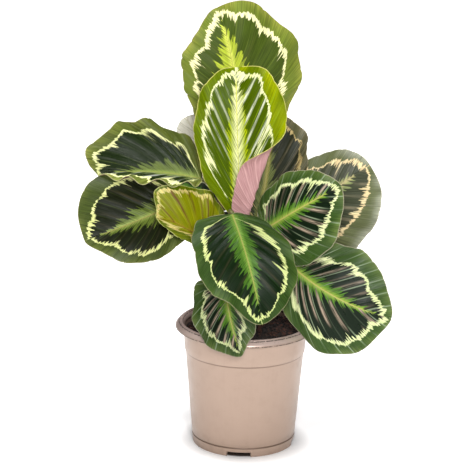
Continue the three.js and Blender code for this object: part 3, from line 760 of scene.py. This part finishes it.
def blade_surface(leaf):
    """A blade's grid of points in rows along the side veins. It comes with each point's share
    s along the margin, its side from -1 to 1, and its mm from the midrib and the margin."""
    rows = leaf["veins"] * ROWS_A_VEIN
    places = np.array(COLUMN_PLACES)
    middle = len(places) - 1
    s = np.arange(1, rows) / rows
    reach = np.broadcast_to(places, (rows - 1, len(places)))
    share = np.broadcast_to(s[:, None], reach.shape)
    left, right = (blade_points(leaf, hand, share, reach) for hand in (-1, 1))
    points = np.concatenate([left[:, :0:-1], right], axis=1)
    side = np.concatenate([-reach[:, :0:-1], reach], axis=1)
    s = np.broadcast_to(s[:, None], side.shape)

    steps = np.linalg.norm(np.diff(points, axis=1), axis=2)
    travel = np.concatenate([np.zeros((len(points), 1)), np.cumsum(steps, axis=1)], axis=1)
    out = np.abs(travel - travel[:, middle:middle + 1])
    inset = np.zeros_like(out)
    for columns, edge in ((slice(0, middle + 1), 0), (slice(middle, None), -1)):
        half_points = points[:, columns]
        gaps = np.linalg.norm(half_points[:, :, None] - points[None, None, :, edge], axis=3)
        near = np.abs(s[:, columns, None] - s[None, None, :, 0]) < MARGIN_SHARE
        inset[:, columns] = np.where(near, gaps, np.inf).min(axis=2)
    return points, s, side, out, inset


def blade_marks(leaf, seed, s, side, out, inset):
    """The fields that a blade's markings are drawn from. Among them are the side vein's
    number and the depth in mm inside the pale ring and inside the midrib's feather. Sines
    of the vein's number and the leaf's seed make them uneven."""
    def by_side(pair):
        return np.where(side < 0, *pair)

    hand = np.sign(side)
    vein = s * leaf["veins"]
    lobe_place = vein * leaf["lobes"] + 0.3 * hand
    between = lobe_place - np.floor(lobe_place)
    arc = 1 - (2 * between - 1) ** 2
    spike = np.exp(-((between - 1) / 0.07) ** 2) + np.exp(-(between / 0.07) ** 2)
    uneven = 0.8 + 0.35 * np.sin(2.3 * np.floor(lobe_place) + seed + hand)
    drift = np.sin(vein * 1.1 + seed) + np.sin(vein * 0.6 + 2.1 * seed + hand)

    # Both halves' insets meet at the leaf's ends, and they narrow towards the tip.
    depth = by_side(leaf["inset"])
    depth = depth + (sum(leaf["inset"]) / 2 - depth) * (1 - np.sin(np.pi * s))
    depth = depth * (1 + leaf["flare"] * (2 * s - 1))
    depth = depth * (1 - 0.5 * smooth_step((s - 0.8) / 0.2))
    ring_inset = depth * (0.8 + 0.2 * np.sin(np.pi * s)) + 0.6 * drift
    ring_inset = ring_inset - leaf["lobing"] * uneven * (arc - 0.6)
    ring = (inset - ring_inset) / leaf["band"]
    # Long thin teeth run in from the ring where two lobes meet.
    ring = np.where(ring > 0, ring / (1 + 1.8 * spike * uneven), ring)
    patchy = np.sin(1.9 * vein + seed) + np.sin(0.83 * vein + 2 * seed + hand)
    ring = ring * (1 + 2.5 * leaf["breaks"] * smooth_step((patchy - 0.2) / 0.5))
    # It is finer near the base, where it runs nearly along the veins.
    ring = ring * (1 + 1.3 * (1 - smooth_step((s - 0.1) / 0.4)))

    # The feather swells from the base, thins out to its end and steps back at each vein.
    place = vein_start(leaf, s)
    swell = np.clip(place / 0.02, 0, 1) * (0.55 + 0.45 * smooth_step(place / 0.25))
    swell = swell * np.clip((leaf["feather_end"] - place) / 0.55, 0, 1) ** 0.8
    saw = 0.7 + 0.3 * (1 - (vein + 0.3) % 1) + 0.22 * (1 - (2.3 * vein + seed) % 1)
    feather = leaf["feather"] * swell * saw * (0.85 + 0.2 * uneven) - out
    first, reach, *strength = leaf["streaks"]
    streaky = smooth_step((s - first) / 0.15) * (1 - smooth_step((out - reach) / 15 + 0.5))
    # Each leaf and each half of it reads another stretch of the skin's noise.
    return {
        "vein": vein + 40 * seed + 17 * (side > 0),
        "out": out,
        "inset": inset,
        "ring": ring,
        "drawn": smooth_step((s - leaf["ring_start"]) / 0.06),
        "feather": feather - 5 * (swell < 0.03),
        "rim": np.clip(1 - inset / 9, 0, 1) + by_side(leaf["rim"]),
        "streaky": streaky * by_side(strength),
        "tone": np.interp(side, (-0.15, 0.15), leaf["tone"]),
    }


def build_blade(leaf, seed):
    """A blade as one thin closed leaf: quilted between its side veins, with a raised midrib
    and fine raised veins on the underside, and a rounded margin."""
    points, s, side, out, inset = blade_surface(leaf)
    rows, columns = out.shape
    vein = s * leaf["veins"]
    reach = np.abs(side)

    # The upper skin is lifted into pleats and ripples, and sinks to a groove over the midrib.
    # The pleats begin beside the midrib and get lower towards the margin, base and tip.
    normal = unit(np.cross(np.gradient(points, axis=1), np.gradient(points, axis=0)))
    quilt = np.abs(np.sin(np.pi * vein)) ** 0.7 - 0.5
    spread = np.clip(reach / 0.16, 0, 1) * (1 - 0.55 * smooth_step((reach - 0.6) / 0.4))
    spread *= np.clip(s / 0.08, 0, 1) * np.clip((1 - s) / 0.08, 0, 1)
    ripple = RIPPLE_HEIGHT * np.sin(2.3 * vein + 3.1 * reach + seed) * reach
    groove = GROOVE_DEPTH * np.exp(-(out / RIB_WIDTH) ** 2)
    lift = leaf["pleat"] * quilt * spread + ripple - groove
    skin = points + normal * lift[..., None]

    # The lower skin lies a blade's thickness under it, and further at the midrib and veins.
    rib = RIB_DEPTH * (1 - RIB_TAPER * s) * np.exp(-(out / RIB_WIDTH) ** 4)
    side_rib = SIDE_RIB_DEPTH * np.exp(-((vein - np.round(vein)) / 0.1) ** 2) * (1 - reach)
    under = skin - normal * (BLADE_THICK + rib + side_rib)[..., None]
    rim = ((skin + under) / 2)[:, [0, -1]]
    outward = unit(points[:, [0, -1]] - points[:, [1, -2]])
    rim = rim + outward * BLADE_THICK * RIM_BULGE

    ends = []
    for share, depth in ((0.0, RIB_DEPTH), (1.0, BLADE_THICK)):
        point, _, end_normal, _ = midrib_frame(leaf, share)
        ends += [point, point - end_normal * depth]
    all_points = np.concatenate([skin.reshape(-1, 3), under.reshape(-1, 3),
                                 rim.reshape(-1, 3), ends])

    # Each grid of point numbers gets the blade's two ends as its first and last row.
    total = rows * columns
    base_top, base_low, tip_top, tip_low = 2 * total + 2 * rows + np.arange(4)
    top, low, edge = (
        np.pad(np.arange(start, start + rows * across).reshape(rows, across),
               ((1, 1), (0, 0)), constant_values=((first, last), (0, 0)))
        for start, across, first, last in ((0, columns, base_top, tip_top),
                                           (total, columns, base_low, tip_low),
                                           (2 * total, 2, base_low, tip_low)))
    upper_faces = quads(top[:-1, :-1], top[:-1, 1:], top[1:, 1:], top[1:, :-1])
    lower_faces = quads(low[:-1, :-1], low[1:, :-1], low[1:, 1:], low[:-1, 1:])
    edge_faces = []
    for column, rims in ((0, ((top, edge), (edge, low))), (-1, ((edge, top), (low, edge)))):
        for near, far in rims:
            near, far = near[:, column], far[:, column]
            edge_faces += quads(near[:-1], far[:-1], far[1:], near[1:])
    slots = [0] * len(upper_faces) + [1] * len(lower_faces) + [0] * len(edge_faces)

    marks = {}
    for mark, values in blade_marks(leaf, seed, s, side, out, inset).items():
        at_ends = np.repeat(values[[0, -1], columns // 2], 2)
        marks[mark] = np.concatenate([values.ravel(), values.ravel(),
                                      values[:, [0, -1]].ravel(), at_ends])
    look = leaf["look"]
    under_look = leaf.get("under", "rose" if LOOK_SLOT[look] == "leaf_young" else "plum")
    make_piece(f"leaf_blade_{leaf['name']}", all_points,
               upper_faces + lower_faces + edge_faces, [UPPER[look], LOWER[under_look]],
               nodes=(f"blade_{leaf['name']}",), face_slots=slots,
               marks=marks)


# ---- Leaf stalks --------------------------------------------------------------------

def stalk_course(leaf):
    """Points from below the soil up to the blade's base, straight and then on one bend."""
    point, tangent, normal, _ = midrib_frame(leaf, 0.0)
    foot = np.array([*leaf["stalk"], SOIL_TOP_Z - STALK_SINK], float)
    collar = np.array([*leaf["stalk"], SOIL_TOP_Z], float)
    end = point - tangent * STALK_END_GAP - normal * RIB_DEPTH / 2
    rise = collar + np.array([0, 0, STALK_RISE * np.linalg.norm(end - collar)])
    lead = end - tangent * STALK_LEAD
    t = np.linspace(0, 1, STALK_STEPS)[:, None]
    bend = ((1 - t) ** 3 * collar + 3 * (1 - t) ** 2 * t * rise
            + 3 * (1 - t) * t ** 2 * lead + t ** 3 * end)
    return np.concatenate([[foot], bend])


def build_stalk(leaf):
    """A leaf stalk: a clasping sheath at its foot, a slim ribbed stem, and the thicker
    smooth knee that turns the blade to the light."""
    course = stalk_course(leaf)
    steps = np.linalg.norm(np.diff(course, axis=0), axis=1)
    travel = np.concatenate([[0], np.cumsum(steps)]) - STALK_SINK
    length = travel[-1]
    shares = np.clip(travel / length, 0, 1)
    sheaths = 1 - smooth_step((travel - SHEATH_FOOT) / (SHEATH_SHARE * length))
    # The knee swells over 4 mm, and over its last 3 mm it narrows to meet the midrib.
    knees = smooth_step((travel - (length - KNEE_LENGTH)) / 4)
    knees = knees * (1 - 0.5 * smooth_step((travel - (length - 3)) / 3))
    tangent = unit(np.gradient(course, axis=0))
    tangent[0] = (0, 0, 1)

    # The frame is carried up the stalk without twist, with the sheath open to the middle.
    facing = -np.array([*leaf["stalk"], 0.0])
    facing = unit(facing) if np.linalg.norm(facing) > 0.5 else np.array([0.0, -1.0, 0.0])
    turn = 2 * np.pi * np.arange(STALK_SIDES) / STALK_SIDES
    opening = np.exp(-(np.angle(np.exp(1j * turn)) / 0.5) ** 2)
    ridges = RIDGE_HEIGHT * np.cos(RIDGE_COUNT * turn)
    rings = []
    for centre, ahead, share, sheath, knee in zip(course, tangent, shares, sheaths, knees):
        facing = unit(facing - ahead * (facing @ ahead))
        radius = STALK_RADIUS * (1 - 0.1 * share) * (1 + KNEE_SWELL * knee)
        radius = radius * (1 + SHEATH_SWELL * sheath - SHEATH_OPENING * sheath * opening)
        radius = radius * (1 + ridges * (1 - knee) * (1 - sheath))
        rings.append(centre + np.outer(radius * np.cos(turn), facing)
                     + np.outer(radius * np.sin(turn), np.cross(ahead, facing)))
    rings = np.stack(rings, axis=1)
    points = np.concatenate([course[:1], course[-1:], rings.reshape(-1, 3)])
    marks = {"along": np.concatenate([[0, 1], np.tile(shares, STALK_SIDES)]),
             "around": np.concatenate([[0, 0], np.repeat(turn, len(course))])}
    skin = STALK_SKIN["young" if LOOK_SLOT[leaf["look"]] == "leaf_young" else "mature"]
    make_piece(f"leaf_stalk_{leaf['name']}", points, turned_faces(STALK_SIDES, len(course)),
               [skin], nodes=(f"stalk_{leaf['name']}",), marks=marks)


for number, one_leaf in enumerate(LEAVES):
    build_blade(one_leaf, number + 1)
    build_stalk(one_leaf)


# ---- Pot ----------------------------------------------------------------------------

def corners_near(radius, z, *offsets):
    """Corners of a profile, given by how far they lie outside and above one place."""
    return [(radius + outside, z + above) for outside, above in offsets]


def pot_profile(notched):
    """The wall's corners from the axis, round the outside and back in, with eased edges.
    In a notch the foot ring stands clear of the ground."""
    lift = NOTCH_HEIGHT if notched else 0
    foot_inner = FOOT_RADIUS - FOOT_RING_WIDTH
    floor = (DRAIN_CIRCLE - DRAIN_MARGIN, DRAIN_CIRCLE + DRAIN_MARGIN)
    foot = (
        [(radius, FLOOR_UNDERSIDE_Z) for radius in (0, *floor, foot_inner)]
        + corners_near(foot_inner, lift, (0, 0.4), (0.4, 0))
        + corners_near(FOOT_RADIUS, lift, (-0.5, 0), (0, 0.4)) + [(FOOT_RADIUS + 0.55, 5.4)]
        + corners_near(BODY_FOOT_RADIUS, FOOT_RING_Z, (-0.05, -0.3), (-0.35, 0), (-0.6, 0.45),
                       (-0.2, 1)))
    wall = [(BODY_FOOT_RADIUS + (BODY_TOP_RADIUS - BODY_FOOT_RADIUS) * k / 8,
             FOOT_RING_Z + 1.3 + (BAND_FOOT_Z - 2.3 - FOOT_RING_Z) * k / 8) for k in range(9)]
    band = (
        corners_near(BODY_TOP_RADIUS, BAND_FOOT_Z, (0.35, -0.75))
        + corners_near(BAND_FOOT_RADIUS, BAND_FOOT_Z, (-0.2, -0.35), (0, 0.2), (0.5, 7))
        + corners_near(BAND_TOP_RADIUS, FLANGE_Z, (-0.5, -7), (0, -0.8), (0.4, -0.1), (1, 0)))
    lip = (
        corners_near(RIM_RADIUS, FLANGE_Z, (-0.5, 0), (0, 0.4))
        + corners_near(RIM_RADIUS, FLANGE_TOP_Z, (0, -0.6), (-0.4, 0.2), (-1.6, 1.7),
                       (-3.2, 3.1))
        + corners_near(RIM_TOP_OUTER, POT_HEIGHT, (0.4, -0.35), (-0.5, 0))
        + corners_near(RIM_TOP_INNER, POT_HEIGHT, (0.5, 0), (0, -0.4)))
    inside = (
        corners_near(BAND_TOP_RADIUS - WALL, FLANGE_TOP_Z, (0.3, 0.4), (0, -0.6))
        + [(BAND_FOOT_RADIUS - WALL, BAND_FOOT_Z), (BODY_TOP_RADIUS - WALL, BAND_FOOT_Z - 1)]
        + corners_near(BODY_FOOT_RADIUS - WALL, FLOOR_TOP_Z, (0, 1), (-1, 0))
        + [(radius, FLOOR_TOP_Z) for radius in (*floor[::-1], 0)])
    return foot + wall + band + lip + inside


def pot_stations():
    """The turns in degrees at which the pot's profile stands, and whether it is notched
    there. Each side of a notch has two stations close together, on it and off it."""
    def apart(turn, other):
        return abs((turn - other + 180) % 360 - 180)

    half_notch = math.degrees(math.asin(NOTCH_WIDTH / 2 / FOOT_RADIUS))
    centres = [NOTCH_TURN - 90 + 360 * k / NOTCH_COUNT for k in range(NOTCH_COUNT)]
    edges = [(centre + sign * (half_notch + ease), ease < 0)
             for centre in centres for sign in (-1, 1) for ease in (-0.2, 0.2)]
    plain = [(turn, any(apart(turn, centre) < half_notch for centre in centres))
             for turn in (360 * k / POT_SIDES for k in range(POT_SIDES))
             if all(apart(turn, edge) > 0.7 for edge, _ in edges)]
    return sorted((turn % 360, notched) for turn, notched in plain + edges)


def drain_hole_cutter():
    """Round bars through the pot's floor, for the drain holes."""
    sides = 24
    points, faces = [], []
    for k in range(DRAIN_COUNT):
        centre = np.array(on_circle(DRAIN_CIRCLE, k / DRAIN_COUNT))
        start = len(points)
        points += [centre + on_circle(DRAIN_RADIUS, j / sides, z)
                   for z in (FLOOR_UNDERSIDE_Z - 2, FLOOR_TOP_Z + 2) for j in range(sides)]
        low = start + np.arange(sides)
        faces += quads(low, np.roll(low, -1), np.roll(low, -1) + sides, low + sides)
        faces += [low[::-1].tolist(), (low + sides).tolist()]
    mesh = bpy.data.meshes.new("drain_holes")
    mesh.from_pydata(to_frame(points).tolist(), [], faces)
    return add_object("drain_holes", mesh)


def build_pot():
    """The pot, turned about its axis, with its notches and with its drain holes cut."""
    stations = pot_stations()
    points = [(0, 0, FLOOR_UNDERSIDE_Z), (0, 0, FLOOR_TOP_Z)]
    for turn, notched in stations:
        points += [on_circle(radius, turn / 360, z)
                   for radius, z in pot_profile(notched)[1:-1]]
    faces = turned_faces(len(stations), (len(points) - 2) // len(stations))
    pot = make_piece("nursery_pot", points, faces, [POT_PLASTIC],
                     nodes=("pot",))

    cutter = drain_hole_cutter()
    cut = pot.modifiers.new("drain_holes", "BOOLEAN")
    cut.operation = "DIFFERENCE"
    cut.object = cutter
    cut.solver = "EXACT"
    bpy.context.view_layer.update()
    shaped = bpy.data.meshes.new_from_object(
        pot.evaluated_get(bpy.context.evaluated_depsgraph_get()))
    pot.modifiers.clear()
    pot.data = shaped
    shaped.name = "nursery_pot"
    bpy.data.objects.remove(cutter)
    shaped.set_sharp_from_angle(angle=math.radians(40))


# ---- Soil ---------------------------------------------------------------------------

def soil_height(x, y):
    """The rough top of the compost at a place, without its crumbs."""
    radius = math.hypot(x, y)
    share = smooth_step((radius - SOIL_MOUND_RADIUS) / (SOIL_RADIUS - SOIL_MOUND_RADIUS))
    level = SOIL_TOP_Z + (SOIL_EDGE_Z - SOIL_TOP_Z) * float(share)
    # Humps 17 mm across, and clods of 4.5 mm on them.
    humps = noise.noise(Vector((x / 17, y / 17, 3.1)))
    clods = noise.noise(Vector((x / 4.5, y / 4.5, 7.7)))
    return level + 1.5 * humps + 0.9 * clods


def build_compost():
    """The compost: a rough mound that fills the pot down to its floor."""
    rings, sides = 46, 150
    bottom = FLOOR_TOP_Z + 0.3
    points = [(0, 0, soil_height(0, 0)), (0, 0, bottom)]
    for j in range(sides):
        for k in range(rings):
            x, y, _ = on_circle(SOIL_RADIUS * (k + 1) / rings, j / sides)
            points.append((x, y, soil_height(x, y)))
        points.append(on_circle(BODY_TOP_RADIUS - WALL - 0.4, j / sides, BAND_FOOT_Z))
        points.append(on_circle(BODY_FOOT_RADIUS - WALL - 1.2, j / sides, bottom))
    make_piece("compost", points, turned_faces(sides, rings + 2), [COMPOST[0]],
               nodes=("soil",))


def crumb_form():
    """A crumb before it is made ragged: the corners and faces of a ball with twenty sides."""
    golden = (1 + 5 ** 0.5) / 2
    signs = [(a, b * golden) for a in (-1, 1) for b in (-1, 1)]
    corners = unit([(0, a, b) for a, b in signs] + [(a, b, 0) for a, b in signs]
                   + [(b, 0, a) for a, b in signs])
    near = np.linalg.norm(corners[:, None] - corners[None], axis=2) < 1.06
    cells = []
    for i, j, k in combinations(range(12), 3):
        if near[i, j] and near[j, k] and near[i, k]:
            outward = np.cross(corners[j] - corners[i], corners[k] - corners[i]) @ corners[i]
            cells.append((i, j, k) if outward > 0 else (i, k, j))
    return corners, np.array(cells)


def scatter_crumbs(rng):
    """Loose crumbs on the compost: round ones of damp and dried peat, and flat, longer
    chips of bark. Size is a crumb's radius before it is stretched."""
    corners, cells = crumb_form()
    points, faces, slots = [], [], []
    for _ in range(CRUMB_COUNT):
        kind = rng.choice(len(COMPOST), p=(0.5, 0.27, 0.23))
        if kind < 2:
            size = rng.uniform(0.6, 1.7)
            stretch = rng.uniform(0.6, 1.3, 3)
        else:
            size = rng.uniform(1.0, 2.9)
            stretch = rng.uniform((1.0, 0.5, 0.25), (1.9, 1.0, 0.5))
        radius = (SOIL_RADIUS - size - 0.6) * math.sqrt(rng.uniform(0, 1))
        x, y, _ = on_circle(radius, rng.uniform(0, 1))
        ragged = corners * rng.uniform(0.75, 1.2, (12, 1)) * stretch * size
        spin = np.array(Euler((*rng.uniform(-0.7, 0.7, 2), rng.uniform(0, 6.28))).to_matrix())
        centre = np.array([x, y, soil_height(x, y) + 0.3 * size * rng.uniform(0.3, 1.4)])
        faces += (cells + len(points)).tolist()
        points += list(ragged @ spin.T + centre)
        slots += [kind] * len(cells)
    make_piece("compost_crumbs", points, faces, COMPOST, face_slots=slots,
               smooth=False)


build_pot()
build_compost()
scatter_crumbs(np.random.default_rng(41))


# ---- Floor, light and camera, in metres from the pot's axis -------------------------

def paper_white(name, shade, shade_under_pot, near_glow, far_glow):
    """White studio paper, matt and even, and lit from below as a light table is. The lit
    strip is as wide as the camera's view, runs off behind the pot and leaves out its
    footprint, which is painted dark brown as shade under the pot."""
    bench = Bench(name)
    add = bench.add
    place = add("TexCoord", output="Object")
    from_pot = add("VectorMath", (place, tuple(POT_AXIS)), operation="SUBTRACT")
    parts = add("SeparateXYZ", (from_pot,)).node.outputs
    distance = add("VectorMath", (from_pot,), output="Value", operation="LENGTH")
    foot = FOOT_RADIUS * MM

    # The glow starts in front of the pot and grows behind it. The strip reaches 0.27 m to
    # each side, and 0.13 m further for each metre behind the pot.
    front = add("MapRange", (parts["Y"], -0.22, -0.12))
    behind = add("MapRange", (parts["Y"], 0.0, 1.2, near_glow, far_glow))
    aside = add("Math", (parts["X"],), operation="ABSOLUTE")
    spread = add("Math", (parts["Y"], -0.13, aside), operation="MULTIPLY_ADD")
    side = add("MapRange", (spread, 0.27, 0.36, 1.0, 0.0))
    clear = add("MapRange", (distance, foot - 0.001, 1.35 * foot))
    glow = behind
    for share in (front, side, clear):
        glow = add("Math", (glow, share), operation="MULTIPLY")
    # The paper under the pot is painted dark brown, as painted shade.
    under_pot = add("MapRange", (distance, foot - 0.004, foot - 0.001))
    sheet = add("Mix", {0: under_pot, 6: linear(shade_under_pot), 7: linear(shade)}, **COLOURS)
    return bench.finish(Base_Color=sheet, Roughness=0.9, Emission_Color=linear(shade),
                        Emission_Strength=glow)


def softbox(name, place, size, power):
    """A square soft light at a place, turned to the middle of the plant."""
    lamp = bpy.data.lights.new(name, "AREA")
    lamp.shape = "SQUARE"
    lamp.size = size
    lamp.energy = power
    light = add_object(name, lamp)
    light.location = Vector(place) + Vector(POT_AXIS)
    light.rotation_mode = "QUATERNION"
    light.rotation_quaternion = (Vector((0, 0, 0.24)) - Vector(place)).to_track_quat("-Z", "Y")


floor_mesh = bpy.data.meshes.new("studio_floor")
floor_mesh.from_pydata([(-8, -8, 0), (8, -8, 0), (8, 8, 0), (-8, 8, 0)], [], [(0, 1, 2, 3)])
# The dark brown under the pot is painted shade.
floor_mesh.materials.append(paper_white("studio_paper", "#ffffff", "#3a2c24", 0.52, 1.0))
add_object("studio_floor", floor_mesh)

softbox("softbox_key", (0.12, -1.95, 1.0), size=0.6, power=38)
softbox("softbox_top", (-0.25, 0.25, 2.0), size=0.8, power=31)

# A little light comes from all round.
world = bpy.data.worlds.new("studio_light")
world.use_nodes = True
world.node_tree.nodes["Background"].inputs["Color"].default_value = (1, 1, 1, 1)
world.node_tree.nodes["Background"].inputs["Strength"].default_value = 0.13
bpy.context.scene.world = world
bpy.context.scene.view_settings.view_transform = "Standard"

# The camera stands 2 m in front of the pot, looks down a little and leans by a degree.
CAMERA_PLACE = (-0.0118, -2.0, 0.781)
CAMERA_PITCH = math.radians(15.78)
CAMERA_ROLL = math.radians(1.0)
IMAGE_PIXELS = 470
FOCAL_PIXELS = 2092         # the lens's focal length, in pixels of the image

camera_data = bpy.data.cameras.new("camera")
camera_data.sensor_width = 36
camera_data.lens = 36 * FOCAL_PIXELS / IMAGE_PIXELS
camera_data.clip_end = 50
camera = add_object("camera", camera_data)
camera.location = Vector(POT_AXIS) + Vector(CAMERA_PLACE)
tilt = Euler((math.pi / 2 - CAMERA_PITCH, 0, 0)).to_matrix()
roll = Euler((0, 0, CAMERA_ROLL)).to_matrix()
camera.rotation_mode = "QUATERNION"
camera.rotation_quaternion = (tilt @ roll).to_quaternion()
bpy.context.scene.camera = camera
